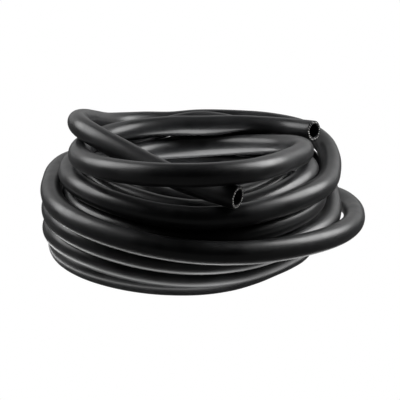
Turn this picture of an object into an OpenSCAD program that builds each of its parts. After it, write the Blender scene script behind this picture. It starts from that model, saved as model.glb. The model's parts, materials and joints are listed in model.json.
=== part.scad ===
// Soft rubber gas tubing lying in a loose coil, made as one hollow piece in millimetres with +Z up.
// The coil stands on the plane z = 0, and the front of the object is towards -Y.
// Seen from above, the tube runs anticlockwise from its first end, which lies on top at the right and back.
// It goes down through five turns to the bottom turn, climbs again through three, and is then drawn over
// the coil: its last stretch bends back across the middle and is tucked under the first turn at the front.
// Lengths of the winding are kept in tube diameters, so that another tube size keeps the same coil.

/* [Output] */
// Node to build

/* [Tube] */
// Diameter of the bore in mm
bore_d = 10; // [6:0.5:14]
// Thickness of the wall in mm
wall = 2.5; // [1.5:0.25:4]
// Depth over which the bore is cut round and true at each end, in mm
socket_depth = 24; // [10:1:30]
// How much the flat-sided bore of the winding stays inside the round one, in mm
bore_step = 0.15; // [0.05:0.05:0.3]
// Length over which the round bore narrows into the flat-sided one, in mm
run_out = 2; // [1:0.5:4]
// Easing of the mouth of the bore at each cut face, in mm
mouth_ease = 0.25; // [0.1:0.05:0.5]

/* [Facets] */
// Sectors of the tube, each of them three outer sides against two sides of the bore
sectors = 4; // [3:1:6]
// Rings between two stations of the winding
rings_per_station = 3; // [2:1:4]

/* [Hidden] */
// Every node of this part

// Outside diameter, which is also the pitch of turns that lie on each other
tube_od = bore_d + 2 * wall;
// Sides of the outer surface and of the bore along the winding
outer_per_sector = 3;
bore_per_sector = 2;
outer_sides = outer_per_sector * sectors;
bore_sides = bore_per_sector * sectors;
// Stations in one turn, and degrees between two of them
stations_per_turn = 8;
station_step = 360 / stations_per_turn;
// Centre line of the winding, in diameters along Y
centre_y = -1;
// Size of a cut past the face that it opens, in mm
cut_margin = 0.5;
// Turn of the round cuts about their own axis, which keeps their seam off the edges of the facets
seam_turn = 11;
// Far end of the run-out against the bore, which lies well inside the flat sides
narrowing = 0.84;

// The first turn begins at the back, after the loose stretch of the first end.
first_station = 2;
// Reach from the centre and height above the floor, both in diameters and to the middle of the tube, at
// right, right-back, back, left-back, left, left-front, front and right-front of each turn in turn.
winding = [
    // Top turn, from the back to the right front
    [4.36, 5.15], [4.65, 5.20], [5.20, 5.35], [6.50, 5.60], [7.40, 5.92], [5.30, 5.55],
    // Inner turn, which steps down under the top turn
    [4.68, 5.15], [4.20, 4.55], [4.35, 4.07], [4.15, 4.15],
    [4.00, 4.30], [4.35, 4.20], [4.52, 3.87], [3.97, 4.00],
    // Second turn, just outside the inner one
    [3.75, 4.05], [3.95, 3.40], [4.75, 3.14], [5.05, 3.50],
    [5.00, 4.30], [5.38, 4.22], [5.72, 3.86], [4.98, 4.00],
    // Third turn, down behind the widest one
    [5.03, 4.16], [5.20, 3.78], [5.65, 4.00], [6.20, 3.15],
    [5.85, 3.30], [6.38, 3.20], [6.48, 2.87], [5.70, 3.00],
    // Widest turn, leaning outwards at the front
    [5.38, 3.05], [5.50, 2.81], [6.30, 3.03], [7.60, 3.40],
    [6.85, 3.60], [7.44, 3.28], [7.64, 2.68], [7.12, 2.27],
    // Swing out at the right and down to the floor, then round on it
    [7.25, 1.88], [8.00, 1.40], [6.45, 0.58], [7.20, 0.50],
    [6.67, 0.50], [6.00, 0.50], [5.46, 0.50], [4.50, 0.50],
    // Second turn from the floor
    [4.90, 0.50], [5.10, 0.50], [5.28, 0.60], [6.40, 1.40],
    [6.88, 1.53], [6.56, 1.38], [6.27, 1.13], [5.31, 1.18],
    // Third turn from the floor
    [5.45, 1.38], [5.75, 1.60], [6.20, 1.98], [6.85, 2.40],
    [6.87, 2.56], [6.98, 2.32], [6.90, 1.95], [6.00, 2.03],
    // Climb at the right and back, then round on top of the third turn
    [6.14, 2.28], [6.58, 3.99], [5.42, 5.14], [5.95, 4.22],
    [6.00, 4.33], [6.40, 4.22], [6.75, 3.87], [6.08, 4.00],
    // Last quarter, up and round the outside of the back
    [6.06, 4.04], [7.20, 4.79], [6.75, 4.93]
];

// Loose stretch of the first end, from its cut face to the winding, as points in diameters
first_end = [[5.48, 1.50, 5.34], [4.25, 2.60, 5.22], [3.08, 3.07, 5.19], [1.82, 3.36, 5.18]];
// Loose stretch of the last end, from the winding over the coil to its cut face, in diameters
last_end = [
    [-1.50, 5.50, 4.87], [-2.75, 5.08, 4.97], [-3.85, 4.30, 5.11], [-4.60, 3.20, 5.35], [-5.10, 1.90, 5.75],
    [-5.45, 0.50, 6.15], [-5.60, -0.90, 6.40], [-5.30, -2.35, 6.45], [-4.45, -3.65, 6.28],
    [-3.25, -4.75, 5.93], [-1.98, -5.70, 5.50], [-0.75, -6.55, 5.17], [0.40, -7.30, 4.99], [1.56, -8.00, 4.84]
];

// One point of the smooth curve through b and c, at share t of the way, with a and d as the points beside.
function between(a, b, c, d, t) =
    b + t * (c - a) / 2 + t * t * (a - 2.5 * b + 2 * c - d / 2) + t * t * t * (3 * b - a - 3 * c + d) / 2;

// Angle of a station about the centre of the winding, counted on from turn to turn
function station_angle(i) = (first_station + i) * station_step;

// Winding stations as angle, reach and height
stations = [for (i = [0 : len(winding) - 1]) [station_angle(i), winding[i].x, winding[i].y]];

// Station i, or one carried on past either end in a straight line
function station(i) =
    i < 0 ? 2 * stations[0] - stations[1] :
    i >= len(stations) ? 2 * stations[i - 1] - stations[i - 2] : stations[i];

// Place in diameters of an angle, reach and height
function placed(s) = [s.y * cos(s.x), centre_y + s.y * sin(s.x), s.z];

// Rings of the winding, a few between each two stations
coil_line = [
    for (i = [0 : len(stations) - 2], k = [0 : rings_per_station - 1])
        placed(between(station(i - 1), station(i), station(i + 1), station(i + 2), k / rings_per_station)),
    placed(stations[len(stations) - 1])
];

// Whole centre line in mm, before it is moved to the origin
centre_line = tube_od * concat(first_end, coil_line, last_end);
last_ring = len(centre_line) - 1;

function unit(v) = v / norm(v);

// Direction of the tube at ring i: its end cuts are square to the end stretches.
function heading(i) = unit(centre_line[min(i + 1, last_ring)] - centre_line[max(i - 1, 0)]);

// Side direction carried from ring to ring without twist
function carried(side, i) = unit(side - (side * heading(i)) * heading(i));

sides = [
    for (
        i = 0, side = carried([0, 0, 1], 0);
        i <= last_ring;
        i = i + 1, side = carried(side, min(i, last_ring))
    ) side
];

// Points of one ring with the given radius and number of sides
function ring(i, radius, count) = [
    for (k = [0 : count - 1])
        let (angle = k * 360 / count)
        centre_line[i] + radius * (cos(angle) * sides[i] + sin(angle) * cross(heading(i), sides[i]))
];

outer_points = [for (i = [0 : last_ring]) each ring(i, tube_od / 2, outer_sides)];
bore_points = [for (i = [0 : last_ring]) each ring(i, bore_d / 2 - bore_step, bore_sides)];

// Lowest and highest values of the outer surface, which set the origin under the middle of the box
function low(axis) = min([for (p = outer_points) p[axis]]);
function high(axis) = max([for (p = outer_points) p[axis]]);
to_origin = [-(low(0) + high(0)) / 2, -(low(1) + high(1)) / 2, -low(2)];

// Triangles of a skin with so many sides, whose points begin at number start
function skin(start, count, outward) = [
    for (i = [0 : last_ring - 1], k = [0 : count - 1])
        let (
            a = start + i * count + k,
            b = start + i * count + (k + 1) % count,
            c = a + count,
            d = b + count
        )
        each outward ? [[a, c, b], [b, c, d]] : [[a, b, c], [b, d, c]]
];

// Flat ring of a cut face: three outer sides meet two sides of the bore, all the way round.
function cut_face(outer_start, bore_start, outward) = [
    for (k = [0 : sectors - 1])
        let (
            o = [for (j = [0 : outer_per_sector]) outer_start + (outer_per_sector * k + j) % outer_sides],
            b = [for (j = [0 : bore_per_sector]) bore_start + (bore_per_sector * k + j) % bore_sides],
            fan = [
                [o[0], o[1], b[0]],
                [b[0], o[1], b[1]],
                [b[1], o[1], o[2]],
                [b[1], o[2], b[2]],
                [b[2], o[2], o[3]]
            ]
        )
        each outward ? fan : [for (t = fan) [t[0], t[2], t[1]]]
];

bore_start = len(outer_points);
all_points = concat(outer_points, bore_points);
all_faces = concat(
    skin(0, outer_sides, true),
    skin(bore_start, bore_sides, false),
    cut_face(0, bore_start, true),
    cut_face(last_ring * outer_sides, bore_start + last_ring * bore_sides, false)
);

// Turns +Z to the given direction
module aim(direction) {
    rotate([0, acos(direction.z), atan2(direction.y, direction.x)]) children();
}

// Round bore of one end, with an eased mouth at its cut face and a run-out beyond the socket depth
module true_bore(i, inwards) {
    translate(centre_line[i])
        aim(inwards) rotate([0, 0, seam_turn]) {
            translate([0, 0, -cut_margin])
                cylinder(
                    h = cut_margin + mouth_ease,
                    d1 = bore_d + 2 * (cut_margin + mouth_ease),
                    d2 = bore_d,
                    $fn = 48
                );
            translate([0, 0, mouth_ease])
                cylinder(h = socket_depth, d = bore_d, $fn = 48);
            translate([0, 0, mouth_ease + socket_depth])
                cylinder(h = run_out, d1 = bore_d, d2 = bore_d * narrowing, $fn = 48);
        }
}

// The tube, hollow from end to end, with a round bore at each cut face
module gas_tubing() {
    color("#232425")
        translate(to_origin)
            difference() {
                polyhedron(points = all_points, faces = all_faces, convexity = 12);
                true_bore(0, heading(0));
                true_bore(last_ring, -heading(last_ring));
            }
}

gas_tubing();
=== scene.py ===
"""Soft black rubber gas tubing in a loose coil, seen from the front on a white studio floor.

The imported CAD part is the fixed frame. Geometry Nodes draw the tube again over its node, as one fine
hollow sweep along the same winding: a smooth skin, rounded cut faces, the yarn ends of the moulded textile
insert, and the bore. The rubber is satin black with faint patches of bloom and a fine grain, and the yarn is
undyed cotton.
"""

import json
import logging
import math
from dataclasses import dataclass
from enum import Enum

import bpy
import numpy as np
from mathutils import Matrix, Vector
from mathutils.kdtree import KDTree

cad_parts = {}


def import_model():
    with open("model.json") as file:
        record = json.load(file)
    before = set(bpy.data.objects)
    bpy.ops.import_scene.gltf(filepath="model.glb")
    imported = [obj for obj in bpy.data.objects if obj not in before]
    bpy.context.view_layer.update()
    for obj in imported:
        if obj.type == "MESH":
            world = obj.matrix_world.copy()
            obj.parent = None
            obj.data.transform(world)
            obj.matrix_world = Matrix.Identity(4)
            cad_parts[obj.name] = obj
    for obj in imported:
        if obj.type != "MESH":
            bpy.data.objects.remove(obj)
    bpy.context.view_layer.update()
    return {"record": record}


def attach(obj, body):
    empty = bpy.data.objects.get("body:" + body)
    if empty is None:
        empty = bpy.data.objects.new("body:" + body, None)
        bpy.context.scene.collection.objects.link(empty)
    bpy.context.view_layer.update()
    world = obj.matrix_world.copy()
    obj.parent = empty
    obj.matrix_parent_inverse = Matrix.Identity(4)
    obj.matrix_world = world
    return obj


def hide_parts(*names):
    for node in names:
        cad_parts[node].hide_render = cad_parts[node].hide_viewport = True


LOG = logging.getLogger("gas_tubing")

NODE = "gas_tubing"
BODY = "root"

Triple = tuple[float, float, float]
Colour = tuple[float, float, float, float]


class Stuff(Enum):
    """What a face is made of, stored as a number that the last material node of the sweep reads."""

    RUBBER = 0
    TEXTILE = 1


@dataclass(frozen=True)
class TubeSize:
    """Sizes of the tube in metres."""

    outer: float = 0.015
    bore: float = 0.010
    edge_round: float = 0.0004


@dataclass(frozen=True)
class Winding:
    """Centre line of the tube, counted in tube diameters as in the part's source.

    Each turn has eight stations: right, right-back, back, left-back, left, left-front, front and right-front.
    A station is the reach from the centre and the height above the floor. The first turn begins at the back.
    """

    centre_y: float = -1.0
    first_station: int = 2
    step: float = 45.0
    stations: tuple[tuple[float, float], ...] = (
        (4.36, 5.15), (4.65, 5.20), (5.20, 5.35), (6.50, 5.60), (7.40, 5.92), (5.30, 5.55),
        (4.68, 5.15), (4.20, 4.55), (4.35, 4.07), (4.15, 4.15),
        (4.00, 4.30), (4.35, 4.20), (4.52, 3.87), (3.97, 4.00),
        (3.75, 4.05), (3.95, 3.40), (4.75, 3.14), (5.05, 3.50),
        (5.00, 4.30), (5.38, 4.22), (5.72, 3.86), (4.98, 4.00),
        (5.03, 4.16), (5.20, 3.78), (5.65, 4.00), (6.20, 3.15),
        (5.85, 3.30), (6.38, 3.20), (6.48, 2.87), (5.70, 3.00),
        (5.38, 3.05), (5.50, 2.81), (6.30, 3.03), (7.60, 3.40),
        (6.85, 3.60), (7.44, 3.28), (7.64, 2.68), (7.12, 2.27),
        (7.25, 1.88), (8.00, 1.40), (6.45, 0.58), (7.20, 0.50),
        (6.67, 0.50), (6.00, 0.50), (5.46, 0.50), (4.50, 0.50),
        (4.90, 0.50), (5.10, 0.50), (5.28, 0.60), (6.40, 1.40),
        (6.88, 1.53), (6.56, 1.38), (6.27, 1.13), (5.31, 1.18),
        (5.45, 1.38), (5.75, 1.60), (6.20, 1.98), (6.85, 2.40),
        (6.87, 2.56), (6.98, 2.32), (6.90, 1.95), (6.00, 2.03),
        (6.14, 2.28), (6.58, 3.99), (5.42, 5.14), (5.95, 4.22),
        (6.00, 4.33), (6.40, 4.22), (6.75, 3.87), (6.08, 4.00),
        (6.06, 4.04), (7.20, 4.79), (6.75, 4.93),
    )
    first_end: tuple[Triple, ...] = (
        (5.48, 1.50, 5.34), (4.25, 2.60, 5.22), (3.08, 3.07, 5.19), (1.82, 3.36, 5.18),
    )
    last_end: tuple[Triple, ...] = (
        (-1.50, 5.50, 4.87), (-2.75, 5.08, 4.97), (-3.85, 4.30, 5.11), (-4.60, 3.20, 5.35),
        (-5.10, 1.90, 5.75), (-5.45, 0.50, 6.15), (-5.60, -0.90, 6.40), (-5.30, -2.35, 6.45),
        (-4.45, -3.65, 6.28), (-3.25, -4.75, 5.93), (-1.98, -5.70, 5.50), (-0.75, -6.55, 5.17),
        (0.40, -7.30, 4.99), (1.56, -8.00, 4.84),
    )


def smooth_line(points: np.ndarray, per_span: int) -> np.ndarray:
    """Draws a smooth curve through points.

    Args:
        points: Rows of coordinates that the curve passes through.
        per_span: Samples between each two points.

    Returns:
        The rows of the sampled curve, with the first and last point kept.
    """
    spread = np.vstack([2 * points[0] - points[1], points, 2 * points[-1] - points[-2]])
    share = np.linspace(0.0, 1.0, per_span, endpoint=False)[:, None]
    rows = []
    for a, b, c, d in zip(spread, spread[1:], spread[2:], spread[3:]):
        straight = share * (c - a) / 2
        bowed = share**2 * (a - 2.5 * b + 2 * c - d / 2)
        swung = share**3 * (3 * b - a - 3 * c + d) / 2
        rows.append(b + straight + bowed + swung)
    return np.vstack(rows + [points[-1:]])


def add_object(name: str, data: bpy.types.ID) -> bpy.types.Object:
    """Adds an object to the scene.

    Args:
        name: Name of the object.
        data: Its mesh or camera.

    Returns:
        The new object.
    """
    added = bpy.data.objects.new(name, data)
    bpy.context.scene.collection.objects.link(added)
    return added


@dataclass(frozen=True)
class Route:
    """The tube's way through space in metres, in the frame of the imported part."""

    winding: Winding
    size: TubeSize
    mouth: Vector
    rings_per_station: int = 3
    samples_per_ring: int = 6

    def points(self) -> np.ndarray:
        """Works out the centre line.

        Returns:
            Rows of x, y and z from the first cut face to the last one.
        """
        angles = self.winding.step * (self.winding.first_station + np.arange(len(self.winding.stations)))
        stations = np.column_stack([angles, np.array(self.winding.stations)])
        angle, reach, height = smooth_line(stations, self.rings_per_station).T
        radians = np.radians(angle)
        across = self.winding.centre_y + reach * np.sin(radians)
        coil = np.column_stack([reach * np.cos(radians), across, height])
        rings = np.vstack([self.winding.first_end, coil, self.winding.last_end])
        line = smooth_line(rings, self.samples_per_ring) * self.size.outer
        return line + self.shift()

    def shift(self) -> np.ndarray:
        """Gives the move from the winding's origin to the part's, found at the first cut face."""
        return np.array(self.mouth) - self.size.outer * np.array(self.winding.first_end[0])


@dataclass(frozen=True)
class View:
    """The camera of the photograph, with its distance and target in tube diameters of the winding's frame."""

    distance: float = 62.0
    elevation: float = 16.8
    target: Triple = (0.0, 0.0, 2.33)
    focal_pixels: float = 1302.0
    image_pixels: float = 400.0
    sensor_mm: float = 36.0
    nearest: float = 0.01
    farthest: float = 20.0

    def place(self, size: TubeSize, shift: np.ndarray) -> None:
        """Adds the camera.

        Args:
            size: Sizes of the tube, whose outside diameter scales the view.
            shift: Move from the winding's own origin to the part's origin, in metres.
        """
        tilt = math.radians(self.elevation)
        target = np.array(self.target) * size.outer + shift
        back = np.array([0.0, -math.cos(tilt), math.sin(tilt)]) * self.distance * size.outer
        data = bpy.data.cameras.new("photo_camera")
        data.sensor_width = self.sensor_mm
        data.lens = self.sensor_mm * self.focal_pixels / self.image_pixels
        data.clip_start = self.nearest
        data.clip_end = self.farthest
        camera = add_object("photo_camera", data)
        camera.location = target + back
        camera.rotation_euler = (math.radians(90.0 - self.elevation), 0.0, 0.0)
        bpy.context.scene.camera = camera


class NodeSheet:
    """Short ways to add and join nodes in one tree."""

    def __init__(self, tree: bpy.types.NodeTree) -> None:
        """Keeps the tree."""
        self.tree = tree

    def add(self, kind: str, **settings: object) -> bpy.types.Node:
        """Adds a node.

        Args:
            kind: Blender's name of the node type.
            **settings: Properties of the node, and inputs as i_ and their name with spaces as underscores.

        Returns:
            The new node.
        """
        node = self.tree.nodes.new(kind)
        for name, value in settings.items():
            if name.startswith("i_"):
                self.put(value, node.inputs[name[2:].replace("_", " ")])
            else:
                setattr(node, name, value)
        return node

    def put(self, value: object, socket: bpy.types.NodeSocket) -> None:
        """Joins a socket to an input, or sets the input to a plain value."""
        if isinstance(value, bpy.types.NodeSocket):
            self.tree.links.new(value, socket)
        else:
            socket.default_value = value

    def math(self, operation: str, *values: object) -> bpy.types.NodeSocket:
        """Adds a math node and gives its result."""
        node = self.add("ShaderNodeMath", operation=operation)
        for value, socket in zip(values, node.inputs):
            self.put(value, socket)
        return node.outputs[0]

    def vector(self, operation: str, *values: object) -> bpy.types.NodeSocket:
        """Adds a vector math node of two vectors and gives its result."""
        node = self.add("ShaderNodeVectorMath", operation=operation)
        for value, socket in zip(values, node.inputs):
            self.put(value, socket)
        return node.outputs["Value"] if operation == "LENGTH" else node.outputs[0]

    def scaled(self, vector: bpy.types.NodeSocket, factor: object) -> bpy.types.NodeSocket:
        """Gives a vector times a number."""
        return self.add("ShaderNodeVectorMath", operation="SCALE", i_Vector=vector, i_Scale=factor).outputs[0]

    def blend(self, data_type: str, share: object, start: object, end: object) -> bpy.types.NodeSocket:
        """Mixes two values of a type.

        Args:
            data_type: Blender's name of the type.
            share: Share of the second value.
            start: First value.
            end: Second value.

        Returns:
            The mixed value.
        """
        node = self.add("ShaderNodeMix", data_type=data_type)
        used = {socket.name: socket for socket in node.inputs if socket.enabled}
        for name, value in (("Factor", share), ("A", start), ("B", end)):
            self.put(value, used[name])
        return next(socket for socket in node.outputs if socket.enabled)

    def store(self, geometry: bpy.types.NodeSocket, name: str, data_type: str, domain: str,
              value: object) -> bpy.types.NodeSocket:
        """Stores a named attribute with a geometry.

        Args:
            geometry: Geometry that takes the attribute.
            name: Name of the attribute.
            data_type: Blender's name of its type.
            domain: Blender's name of what it is stored with.
            value: Socket or plain value to store.

        Returns:
            The geometry with its attribute.
        """
        node = self.add("GeometryNodeStoreNamedAttribute", data_type=data_type, domain=domain,
                        i_Geometry=geometry, i_Name=name)
        self.put(value, next(socket for socket in node.inputs if socket.name == "Value" and socket.enabled))
        return node.outputs[0]

    def surface(self, shader: bpy.types.NodeSocket) -> None:
        """Ends a material's tree with its surface."""
        self.add("ShaderNodeOutputMaterial", i_Surface=shader)


def new_material(name: str) -> tuple[bpy.types.Material, NodeSheet]:
    """Makes a material with an empty tree.

    Args:
        name: Name of the material.

    Returns:
        The material and the sheet of its tree.
    """
    material = bpy.data.materials.new(name)
    material.use_nodes = True
    material.node_tree.nodes.clear()
    return material, NodeSheet(material.node_tree)


@dataclass(frozen=True)
class SweepDetail:
    """How finely the tube is drawn, with lengths in metres."""

    outside_rings: int = 1500
    edge_rings: int = 5
    face_rings: int = 7
    bore_rings: int = 420
    around: int = 40
    wobble: float = 0.00016
    wobble_scale: float = 26.0
    wobble_reach: float = 0.02
    weld: float = 0.00001


@dataclass(frozen=True)
class YarnDetail:
    """How the cut yarns of the textile insert are drawn, with lengths in metres."""

    count: int = 23
    ring: float = 0.0062
    end: float = 0.00062
    stray: float = 0.25
    stray_seed: int = 4
    least: Triple = (0.7, 0.7, 0.35)
    most: Triple = (1.25, 1.1, 0.75)
    scale_seed: int = 9
    rounding: int = 2


class TubeSweep:
    """Geometry Nodes tree that turns the centre line into the hollow tube."""

    def __init__(self, size: TubeSize, rubber: bpy.types.Material, textile: bpy.types.Material) -> None:
        """Keeps the sizes and materials.

        Args:
            size: Sizes of the tube.
            rubber: Material of the tube.
            textile: Material of the yarn ends in its cut faces.
        """
        self.size = size
        self.detail = SweepDetail()
        self.yarn = YarnDetail()
        self.rubber = rubber
        self.textile = textile

    def profile(self) -> np.ndarray:
        """Lists the rings: the outside, the last cut face, back in the bore, and the first cut face.

        Returns:
            Rows of share of the length, move along the tube at its ends, and radius.
        """
        d, s = self.detail, self.size
        turn = np.linspace(0.0, math.pi / 2, d.edge_rings)
        ro, ri, e = s.outer / 2, s.bore / 2, s.edge_round
        rows = []
        for share in np.linspace(0.0, 1.0, d.outside_rings):
            rows.append((share, e if share == 0.0 else -e if share == 1.0 else 0.0, ro))
        for end, sign in ((1.0, 1.0), (0.0, -1.0)):
            face = [(end, sign * e * (math.sin(a) - 1), ro - e + e * math.cos(a)) for a in turn[1:]]
            face += [(end, 0.0, r) for r in np.linspace(ro - e, ri + e, d.face_rings)[1:-1]]
            face += [(end, sign * e * (math.cos(a) - 1), ri + e - e * math.sin(a)) for a in turn]
            if end == 1.0:
                rows += face
                rows += [(share, 0.0, ri) for share in np.linspace(1.0, 0.0, d.bore_rings)[1:-1]]
            else:
                rows += face[::-1]
        rows.append(rows[0])
        return np.array(rows)

    def build(self, line: np.ndarray) -> bpy.types.Object:
        """Makes the tube.

        Args:
            line: Rows of the centre line in metres.

        Returns:
            A mesh object at the origin.
        """
        profile = self.profile()
        rings = self.ring_frames(line, profile)
        carrier = bpy.data.meshes.new("tube_rings")
        carrier.from_pydata(rings["place"].tolist(), [], [])
        for name in ("side", "heading"):
            layer = carrier.attributes.new(name, "FLOAT_VECTOR", "POINT")
            layer.data.foreach_set("vector", rings[name].ravel())
        for name in ("radius", "run"):
            layer = carrier.attributes.new(name, "FLOAT", "POINT")
            layer.data.foreach_set("value", rings[name])
        obj = add_object("rubber_tube", carrier)
        modifier = obj.modifiers.new("sweep", "NODES")
        tree = self.tree(len(profile), self.face_turns(line))
        modifier.node_group = tree
        values = {"Around": self.detail.around, "Wobble": self.detail.wobble}
        for item in tree.interface.items_tree:
            if item.item_type == "SOCKET" and item.in_out == "INPUT" and item.name in values:
                modifier[item.identifier] = values[item.name]
        bpy.context.view_layer.update()
        evaluated = obj.evaluated_get(bpy.context.evaluated_depsgraph_get())
        mesh = bpy.data.meshes.new_from_object(evaluated)
        obj.modifiers.clear()
        obj.data = mesh
        mesh.name = "rubber_tube"
        LOG.info("tube: %d vertices, %d faces", len(mesh.vertices), len(mesh.polygons))
        return obj

    @staticmethod
    def ring_frames(line: np.ndarray, profile: np.ndarray) -> dict[str, np.ndarray]:
        """Works out where each ring lies and how it is turned, without twist from ring to ring.

        Args:
            line: Rows of the centre line in metres.
            profile: Rows of the rings along the skin.

        Returns:
            Place, heading, side, radius and run along the tube of each ring, by name.
        """
        steps = np.linalg.norm(np.diff(line, axis=0), axis=1)
        run = np.concatenate([[0.0], np.cumsum(steps)])
        heading = np.gradient(line, run, axis=0)
        heading /= np.linalg.norm(heading, axis=1)[:, None]
        side = np.zeros_like(line)
        current = np.array([0.0, 0.0, 1.0])
        for i, t in enumerate(heading):
            current = current - (current @ t) * t
            current /= np.linalg.norm(current)
            side[i] = current
        at = profile[:, 0] * run[-1]
        frames = {}
        for name, rows in (("place", line), ("heading", heading), ("side", side)):
            frames[name] = np.column_stack([np.interp(at, run, rows[:, k]) for k in range(3)])
        frames["place"] = frames["place"] + profile[:, 1:2] * frames["heading"]
        frames["radius"] = profile[:, 2]
        frames["run"] = at
        return frames

    @staticmethod
    def face_turns(line: np.ndarray) -> list[tuple]:
        """Gives the place and the outward rotation of both cut faces."""
        faces = []
        for place, inner in ((line[0], line[1]), (line[-1], line[-2])):
            outward = Vector(place) - Vector(inner)
            faces.append((tuple(place), outward.to_track_quat("Z", "Y").to_euler()))
        return faces

    def yarn_ends(self, sheet: NodeSheet, faces: list[tuple]) -> list[bpy.types.NodeSocket]:
        """Adds the cut yarns of the insert, as small rough knobs in a ring on each cut face.

        Args:
            sheet: Node sheet of the sweep.
            faces: Place and rotation of each cut face.

        Returns:
            One geometry socket for each face.
        """
        y = self.yarn
        circle = sheet.add("GeometryNodeMeshCircle", i_Vertices=y.count, i_Radius=y.ring)
        stray = sheet.add("FunctionNodeRandomValue", data_type="FLOAT_VECTOR", i_Seed=y.stray_seed,
                          i_Min=(-y.end * y.stray,) * 3, i_Max=(y.end * y.stray,) * 3)
        loose = sheet.add("GeometryNodeSetPosition", i_Geometry=circle.outputs[0], i_Offset=stray.outputs[0])
        knob = sheet.add("GeometryNodeMeshIcoSphere", i_Radius=y.end, i_Subdivisions=y.rounding)
        marked = sheet.store(knob.outputs[0], "stuff", "INT", "FACE", Stuff.TEXTILE.value)
        scale = sheet.add("FunctionNodeRandomValue", data_type="FLOAT_VECTOR", i_Seed=y.scale_seed,
                          i_Min=y.least, i_Max=y.most)
        placed = sheet.add("GeometryNodeInstanceOnPoints", i_Points=loose.outputs[0], i_Instance=marked,
                           i_Scale=scale.outputs[0])
        return [
            sheet.add("GeometryNodeTransform", i_Geometry=placed.outputs[0], i_Translation=place,
                      i_Rotation=turn).outputs[0]
            for place, turn in faces
        ]

    def tree(self, ring_count: int, faces: list[tuple]) -> bpy.types.NodeTree:
        """Builds the tree, from a grid of rings to the skin and the yarn ends.

        Args:
            ring_count: Number of rings along the skin.
            faces: Place and rotation of each cut face.

        Returns:
            The tree, whose geometry input carries one point for each ring.
        """
        d = self.detail
        tree = bpy.data.node_groups.new("tube_sweep", "GeometryNodeTree")
        tree.interface.new_socket("Geometry", in_out="INPUT", socket_type="NodeSocketGeometry")
        tree.interface.new_socket("Around", in_out="INPUT", socket_type="NodeSocketInt")
        tree.interface.new_socket("Wobble", in_out="INPUT", socket_type="NodeSocketFloat")
        tree.interface.new_socket("Geometry", in_out="OUTPUT", socket_type="NodeSocketGeometry")
        sheet = NodeSheet(tree)
        given = sheet.add("NodeGroupInput")
        columns = sheet.math("ADD", given.outputs["Around"], 1.0)
        grid = sheet.add("GeometryNodeMeshGrid", i_Vertices_X=ring_count, i_Vertices_Y=columns,
                         i_Size_X=1.0, i_Size_Y=1.0)
        index = sheet.add("GeometryNodeInputIndex").outputs[0]
        ring = sheet.math("FLOOR", sheet.math("DIVIDE", sheet.math("ADD", index, 0.5), columns))
        column = sheet.math("SUBTRACT", index, sheet.math("MULTIPLY", ring, columns))
        turn = sheet.math("DIVIDE", column, given.outputs["Around"])
        angle = sheet.math("MULTIPLY", turn, math.tau)
        source = given.outputs["Geometry"]
        place = self.read(sheet, source, ring, "FLOAT_VECTOR")
        side = self.read(sheet, source, ring, "FLOAT_VECTOR", "side")
        heading = self.read(sheet, source, ring, "FLOAT_VECTOR", "heading")
        radius = self.read(sheet, source, ring, "FLOAT", "radius")
        run = self.read(sheet, source, ring, "FLOAT", "run")
        across = sheet.vector("CROSS_PRODUCT", heading, side)
        spoke = sheet.vector(
            "ADD",
            sheet.scaled(side, sheet.math("COSINE", angle)),
            sheet.scaled(across, sheet.math("SINE", angle)),
        )
        noise = sheet.add("ShaderNodeTexNoise", noise_dimensions="3D", i_Scale=d.wobble_scale, i_Detail=1.0,
                          i_Vector=sheet.vector("ADD", place, sheet.scaled(spoke, d.wobble_reach)))
        swing = sheet.math("MULTIPLY", sheet.math("SUBTRACT", noise.outputs[0], 0.5), given.outputs["Wobble"])
        target = sheet.vector("ADD", place, sheet.scaled(spoke, sheet.math("ADD", radius, swing)))
        moved = sheet.add("GeometryNodeSetPosition", i_Geometry=grid.outputs["Mesh"], i_Position=target)
        flat = sheet.add("ShaderNodeCombineXYZ", i_X=run, i_Y=turn)
        mapped = sheet.store(moved.outputs[0], "tube_uv", "FLOAT2", "CORNER", flat.outputs[0])
        welded = sheet.add("GeometryNodeMergeByDistance", i_Geometry=mapped, i_Distance=d.weld)
        skin = sheet.store(welded.outputs[0], "stuff", "INT", "FACE", Stuff.RUBBER.value)
        whole = sheet.add("GeometryNodeJoinGeometry")
        for part in (skin, *self.yarn_ends(sheet, faces)):
            tree.links.new(part, whole.inputs[0])
        smooth = sheet.add("GeometryNodeSetShadeSmooth", i_Geometry=whole.outputs[0])
        real = sheet.add("GeometryNodeRealizeInstances", i_Geometry=smooth.outputs[0])
        rubber = sheet.add("GeometryNodeSetMaterial", i_Geometry=real.outputs[0], i_Material=self.rubber)
        stuff = sheet.add("GeometryNodeInputNamedAttribute", data_type="INT", i_Name="stuff")
        is_textile = sheet.math("COMPARE", stuff.outputs[0], Stuff.TEXTILE.value, 0.5)
        textile = sheet.add("GeometryNodeSetMaterial", i_Geometry=rubber.outputs[0], i_Selection=is_textile,
                            i_Material=self.textile)
        sheet.add("NodeGroupOutput", i_Geometry=textile.outputs[0])
        return tree

    @staticmethod
    def read(sheet: NodeSheet, source: bpy.types.NodeSocket, index: bpy.types.NodeSocket, data_type: str,
             name: str = "") -> bpy.types.NodeSocket:
        """Reads a value of the ring that a vertex belongs to.

        Args:
            sheet: Node sheet of the sweep.
            source: Geometry with one point for each ring.
            index: Number of the ring.
            data_type: Blender's name of the value's type.
            name: Name of the attribute, or nothing for the place.

        Returns:
            The value.
        """
        if name:
            value = sheet.add("GeometryNodeInputNamedAttribute", data_type=data_type, i_Name=name)
        else:
            value = sheet.add("GeometryNodeInputPosition")
        return sheet.add("GeometryNodeSampleIndex", data_type=data_type, domain="POINT", clamp=True,
                         i_Geometry=source, i_Value=value.outputs[0], i_Index=index).outputs[0]


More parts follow.
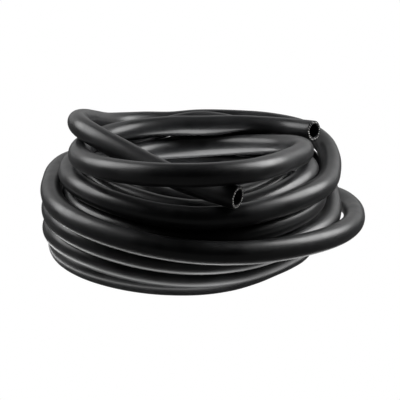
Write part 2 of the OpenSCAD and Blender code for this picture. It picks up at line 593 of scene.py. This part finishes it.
@dataclass(frozen=True)
class RubberFinish:
    """Satin black rubber with faint patches of grey bloom and a fine grain."""

    name: str = "satin_black_rubber"
    colour: Colour = (0.008, 0.0082, 0.009, 1.0)
    bloom: Colour = (0.020, 0.0205, 0.022, 1.0)
    smoothest: float = 0.38
    roughest: float = 0.54
    patch_scale: float = 55.0
    patch_detail: float = 3.0
    bare_below: float = 0.35
    bloomed_above: float = 0.65
    grain_scale: float = 2600.0
    grain_detail: float = 2.0
    grain_depth: float = 0.00003
    grain_strength: float = 0.5
    coat: float = 0.3
    coat_roughness: float = 0.12
    specular: float = 0.35

    def build(self) -> bpy.types.Material:
        """Makes the material.

        Returns:
            The material, with all its values on its own nodes.
        """
        material, sheet = new_material(self.name)
        where = sheet.add("ShaderNodeTexCoord").outputs["Object"]
        patches = sheet.add("ShaderNodeTexNoise", i_Vector=where, i_Scale=self.patch_scale,
                            i_Detail=self.patch_detail)
        patch = sheet.add("ShaderNodeMapRange", i_Value=patches.outputs[0], i_From_Min=self.bare_below,
                          i_From_Max=self.bloomed_above)
        colour = sheet.blend("RGBA", patch.outputs[0], self.colour, self.bloom)
        rough = sheet.add("ShaderNodeMapRange", i_Value=patch.outputs[0], i_To_Min=self.smoothest,
                          i_To_Max=self.roughest)
        grain = sheet.add("ShaderNodeTexNoise", i_Vector=where, i_Scale=self.grain_scale,
                          i_Detail=self.grain_detail)
        bump = sheet.add("ShaderNodeBump", i_Strength=self.grain_strength, i_Distance=self.grain_depth,
                         i_Height=grain.outputs[0])
        shader = sheet.add("ShaderNodeBsdfPrincipled", i_Base_Color=colour, i_Roughness=rough.outputs[0],
                           i_Coat_Weight=self.coat, i_Coat_Roughness=self.coat_roughness,
                           i_Specular_IOR_Level=self.specular, i_Normal=bump.outputs[0])
        sheet.surface(shader.outputs[0])
        return material


@dataclass(frozen=True)
class TextileFinish:
    """Undyed cotton yarn, cut across."""

    name: str = "cut_cotton_yarn"
    colour: Colour = (0.82, 0.81, 0.78, 1.0)
    roughness: float = 0.9

    def build(self) -> bpy.types.Material:
        """Makes the material.

        Returns:
            The material.
        """
        material, sheet = new_material(self.name)
        shader = sheet.add("ShaderNodeBsdfPrincipled", i_Base_Color=self.colour, i_Roughness=self.roughness)
        sheet.surface(shader.outputs[0])
        return material


@dataclass(frozen=True)
class SoftBox:
    """One large studio light: a glowing cloth front that fades towards its edges."""

    name: str
    place: Triple
    half: tuple[float, float]
    strength: float
    aim: Triple = (0.0, 0.0, 0.05)
    dark_at: float = 1.0
    full_at: float = 0.2

    def build(self) -> bpy.types.Object:
        """Adds the light, turned to its aim.

        Returns:
            The glowing sheet.
        """
        w, h = self.half
        mesh = bpy.data.meshes.new(self.name)
        mesh.from_pydata([(-w, -h, 0.0), (w, -h, 0.0), (w, h, 0.0), (-w, h, 0.0)], [], [(0, 1, 2, 3)])
        mesh.materials.append(self.glow())
        sheet = add_object(self.name, mesh)
        sheet.location = self.place
        toward = Vector(self.aim) - Vector(self.place)
        sheet.rotation_euler = toward.to_track_quat("Z", "Y").to_euler()
        sheet.visible_camera = False
        return sheet

    def glow(self) -> bpy.types.Material:
        """Makes the glowing cloth.

        Returns:
            The material, brightest in the middle of the sheet.
        """
        material, sheet = new_material(self.name)
        where = sheet.add("ShaderNodeTexCoord").outputs["Object"]
        away = sheet.vector("LENGTH", sheet.vector("DIVIDE", where, (*self.half, 1.0)))
        fade = sheet.add("ShaderNodeMapRange", interpolation_type="SMOOTHSTEP", i_Value=away,
                         i_From_Min=self.dark_at, i_From_Max=self.full_at, i_To_Max=self.strength)
        light = sheet.add("ShaderNodeEmission", i_Strength=fade.outputs["Result"])
        sheet.surface(light.outputs[0])
        return material


@dataclass(frozen=True)
class PaperGlow:
    """Glowing white paper: plain white to the eye, and in reflections a painted pool of light near the coil,
    with painted shade under its lowest turn.

    The share of near light is the paper's own attribute painted_coil_glow, which is none on the backdrop.
    """

    name: str
    seen: float = 1.0
    # painted pool of light: strength of the paper's glow near the coil, seen only in reflections
    near: float = 7.0
    far: float = 0.1

    def build(self) -> bpy.types.Material:
        """Makes the glowing paper.

        Returns:
            The material.
        """
        material, sheet = new_material(self.name)
        # painted light: the share of the near glow, with its painted pool and painted shadow, is read from
        # the paper's attribute
        share = sheet.add("ShaderNodeAttribute", attribute_name="painted_coil_glow")
        glowing = sheet.add("ShaderNodeMapRange", i_Value=share.outputs["Fac"], i_To_Min=self.far,
                            i_To_Max=self.near)
        path = sheet.add("ShaderNodeLightPath")
        strength = sheet.blend("FLOAT", path.outputs["Is Camera Ray"], glowing.outputs[0], self.seen)
        light = sheet.add("ShaderNodeEmission", i_Strength=strength)
        sheet.surface(light.outputs[0])
        return material


@dataclass(frozen=True)
class Studio:
    """White paper under and behind the coil, two large soft lights at its sides and a dark front."""

    lights: tuple[SoftBox, ...] = (
        SoftBox("left_softbox", (-0.60, 0.20, 0.52), (0.42, 0.50), 6.2),
        SoftBox("right_softbox", (0.60, 0.24, 0.47), (0.40, 0.44), 9.6),
    )
    room: Colour = (0.01, 0.01, 0.01, 1.0)
    paper_steps: Triple = (0.4, 1.0, 3.0)
    fine_half: float = 0.18
    fine_steps: int = 241
    backdrop_far: float = 0.5
    # painted shadow: where the paper's glow is darkened under the lowest turn
    shade_from: float = 0.013
    shade_to: float = 0.020
    lying_below: float = 0.012
    # painted pool of light: where the paper's glow fades away from the coil and towards its right
    glow_centre: tuple[float, float] = (-0.003, 0.006)
    glow_width: float = 1.13
    bright_reach: float = 0.095
    dark_reach: float = 0.116
    right_loss: float = 0.75
    right_from: float = 0.05

    def build(self, line: np.ndarray) -> None:
        """Adds the paper, the lights and the dark room.

        Args:
            line: Centre line of the tube, whose lowest turn sets the painted shade on the paper.
        """
        pieces = [self.floor(line), self.backdrop()]
        pieces += [light.build() for light in self.lights]
        world = bpy.data.worlds.new("dark_room")
        world.use_nodes = True
        world.node_tree.nodes["Background"].inputs[0].default_value = self.room
        bpy.context.scene.world = world
        bpy.context.scene.view_settings.view_transform = "Standard"

    def floor(self, line: np.ndarray) -> bpy.types.Object:
        """Adds the paper under the coil, finely divided where its painted light changes.

        Args:
            line: Centre line of the tube.

        Returns:
            The paper.
        """
        outer = np.array(self.paper_steps)
        fine = np.linspace(-self.fine_half, self.fine_half, self.fine_steps)
        steps = np.concatenate([-outer[::-1], fine, outer])
        count = len(steps)
        x, y = np.meshgrid(steps, steps)
        points = np.column_stack([x.ravel(), y.ravel(), np.zeros(count * count)])
        corner = np.arange(count * (count - 1)).reshape(count - 1, count)[:, :-1].ravel()
        faces = np.column_stack([corner, corner + 1, corner + 1 + count, corner + count])
        mesh = bpy.data.meshes.new("paper_floor")
        mesh.from_pydata(points.tolist(), [], faces.tolist())
        # painted pool of light and painted shadow in the paper's glow, from each point's distance to the coil
        layer = mesh.attributes.new("painted_coil_glow", "FLOAT", "POINT")
        layer.data.foreach_set("value", self.painted_coil_glow(points, line))
        mesh.materials.append(PaperGlow("paper_painted_glow").build())
        return add_object("paper_floor", mesh)

    def painted_coil_glow(self, points: np.ndarray, line: np.ndarray) -> np.ndarray:
        """Works out the painted light of the paper: how much of the near light each point gives.

        Args:
            points: Rows of the paper's points.
            line: Centre line of the tube.

        Returns:
            Shares of painted light that fall off away from the coil and towards its right, with a painted
            shadow under its lowest turn.
        """
        # painted shadow: the glow is darkened where the paper lies under the lowest turn
        lying = self.apart(points, line[line[:, 2] < self.lying_below])
        glow = self.smooth_share(lying, self.shade_from, self.shade_to)
        # painted pool of light: the glow fades with distance from a centre near the coil, reaches further on
        # the left, and weakens towards the right
        across = points[:, 0] - self.glow_centre[0]
        across = np.where(across < 0.0, across / self.glow_width, across)
        reach = np.hypot(across, points[:, 1] - self.glow_centre[1])
        glow = glow * self.smooth_share(reach, self.dark_reach, self.bright_reach)
        return glow * (1.0 - self.right_loss * self.smooth_share(across, 0.0, self.right_from))

    @staticmethod
    def apart(points: np.ndarray, line: np.ndarray) -> np.ndarray:
        """Gives each point's distance in plan from the nearest point of a line."""
        tree = KDTree(len(line))
        for i, (x, y, _) in enumerate(line):
            tree.insert((x, y, 0.0), i)
        tree.balance()
        return np.array([tree.find((p[0], p[1], 0.0))[2] for p in points])

    @staticmethod
    def smooth_share(value: np.ndarray, low: float, high: float) -> np.ndarray:
        """Gives a smooth share from 0 at low to 1 at high."""
        share = np.clip((value - low) / (high - low), 0.0, 1.0)
        return share * share * (3.0 - 2.0 * share)

    def backdrop(self) -> bpy.types.Object:
        """Adds the paper that stands behind the coil.

        Returns:
            The paper.
        """
        w = self.paper_steps[-1]
        mesh = bpy.data.meshes.new("paper_back")
        mesh.from_pydata([(-w, w, 0.0), (w, w, 0.0), (w, w, w), (-w, w, w)], [], [(0, 1, 2, 3)])
        mesh.materials.append(PaperGlow("lit_backdrop", far=self.backdrop_far).build())
        return add_object("paper_back", mesh)


def main() -> None:
    """Builds the whole scene."""
    logging.basicConfig(level=logging.INFO, format="%(name)s: %(message)s")
    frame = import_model()
    size = TubeSize()
    mouth = Vector(frame["record"]["mounts"][0]["pos_m"])
    route = Route(Winding(), size, mouth)
    View().place(size, route.shift())
    line = route.points()
    tube = TubeSweep(size, RubberFinish().build(), TextileFinish().build()).build(line)
    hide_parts(NODE)
    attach(tube, BODY)
    Studio().build(line)


if __name__ == "__main__":
    main()
